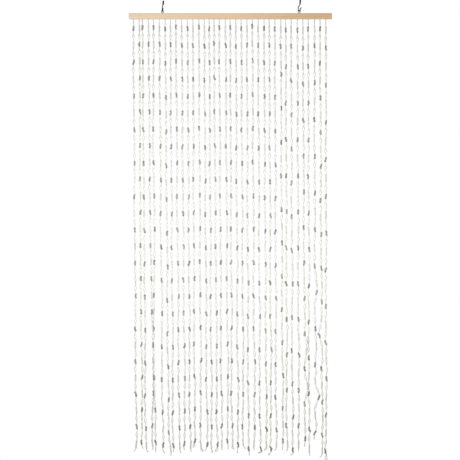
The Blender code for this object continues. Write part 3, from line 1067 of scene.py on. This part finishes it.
# One wire: up the neck, round the ring, and nearly back to the neck.
def makeEye(hanger):
    line, radii = [], []
    for height, radius in eyeSizes["neck"]:
        line.append(Vector((0, 0, height)))
        radii.append(radius)
    for k in range(eyeSizes["around"] + 1):
        angle = -math.pi / 2 + eyeSizes["start"] + eyeSizes["sweep"] * k / eyeSizes["around"]
        line.append(Vector((0, math.cos(angle) * eyeSizes["radius"],
                            eyeSizes["centre"] + math.sin(angle) * eyeSizes["radius"])))
        radii.append(eyeSizes["wire"])
    across = Vector((1, 0, 0))
    frames = []
    for i in range(len(line)):
        ahead = (line[min(i + 1, len(line) - 1)] - line[max(i - 1, 0)]).normalized()
        frames.append((ahead.cross(across).normalized(), across))
    bm = bmesh.new()
    loft(bm, line, frames, lambda i, angle: radii[i], eyeSizes["sides"])
    turn = Matrix.Rotation(math.radians(hanger.eyeYaw), 3, "Z")
    for vert in bm.verts:
        vert.co = (turn @ vert.co + Vector((hanger.x, hang["plane"], hookSizes["battenTop"]))) * mm
    bmesh.ops.recalc_face_normals(bm, faces=bm.faces)
    mesh = bpy.data.meshes.new("eye")
    bm.to_mesh(mesh)
    bm.free()
    mesh.shade_smooth()
    mesh.set_sharp_from_angle(angle=math.radians(60))
    return finishPiece(f"screw_eye_{hanger.name}", mesh, finishes["steel"],
                       f"eye_{hanger.name}")


print("bending hooks and eyes")
for hanger in hangers:
    makeHook(hanger)
    makeEye(hanger)


# Floor, light and camera

studio = {
    "pixels": 460.0,                  # the picture is this wide and high
    "mmPerPixel": 4.434,
    "battenMiddle": (230.4, 16.27),   # where the batten's middle shows in the picture
    "away": 6.0,
    "floor": {"level": -2.06, "side": 1.5, "front": -2.4, "back": 0.36},
    "roomStrength": 0.3,              # light from all round
    "aim": (0, 0, -0.95),             # where the lamps point
    "lamps": [                        # name, place, watts and width
        ("key", (-0.45, -2.0, -0.72), 26.0, 0.8),
        ("fill", (0.6, -2.3, -0.8), 16.0, 0.9),
        ("back", (0.3, 3.0, -0.8), 34.0, 1.4),
    ],
}

floorMesh = bpy.data.meshes.new("studio_floor")
ground = studio["floor"]
side, front, back = ground["side"], ground["front"], ground["back"]
corners = [(-side, front), (side, front), (side, back), (-side, back)]
floorMesh.from_pydata([(x, y, ground["level"]) for x, y in corners], [], [(0, 1, 2, 3)])
floor = bpy.data.objects.new("studio_floor", floorMesh)
scene.collection.objects.link(floor)
floorPaint = Surface("pale_floor", Base_Color=(0.9, 0.9, 0.9), Roughness=0.9)
floorMesh.materials.append(floorPaint.material)

world = bpy.data.worlds.new("studio_world")
world.use_nodes = True
sky = world.node_tree
sky.nodes["Background"].inputs["Color"].default_value = (1.0, 1.0, 1.0, 1.0)
sky.nodes["Background"].inputs["Strength"].default_value = studio["roomStrength"]
backdrop = sky.nodes.new("ShaderNodeBackground")
backdrop.inputs["Color"].default_value = (1.0, 1.0, 1.0, 1.0)
seen = sky.nodes.new("ShaderNodeLightPath")
choice = sky.nodes.new("ShaderNodeMixShader")
sky.links.new(seen.outputs["Is Camera Ray"], choice.inputs[0])
sky.links.new(sky.nodes["Background"].outputs[0], choice.inputs[1])
sky.links.new(backdrop.outputs[0], choice.inputs[2])
sky.links.new(choice.outputs[0], sky.nodes["World Output"].inputs["Surface"])
scene.world = world
scene.view_settings.view_transform = "Standard"
scene.view_settings.look = "None"

for name, place, power, side in studio["lamps"]:
    lamp = bpy.data.lights.new(name, "AREA")
    lamp.energy, lamp.size = power, side
    light = bpy.data.objects.new(name, lamp)
    light.location = place
    light.rotation_euler = (Vector(studio["aim"]) - Vector(place)).to_track_quat("-Z", "Y").to_euler()
    scene.collection.objects.link(light)

middleX = (studio["pixels"] / 2 - studio["battenMiddle"][0]) * studio["mmPerPixel"] * mm
middleZ = (studio["battenMiddle"][1] - studio["pixels"] / 2) * studio["mmPerPixel"] * mm
camData = bpy.data.cameras.new("camera")
camera = bpy.data.objects.new("camera", camData)
camera.location = (middleX, -studio["away"], middleZ)
camera.rotation_euler = (math.pi / 2, 0, 0)
pictureWidth = studio["pixels"] * studio["mmPerPixel"] * mm
camData.lens = camData.sensor_width * (studio["away"] + hang["plane"] * mm) / pictureWidth
camData.clip_start, camData.clip_end = 0.1, 60.0
scene.collection.objects.link(camera)
scene.camera = camera
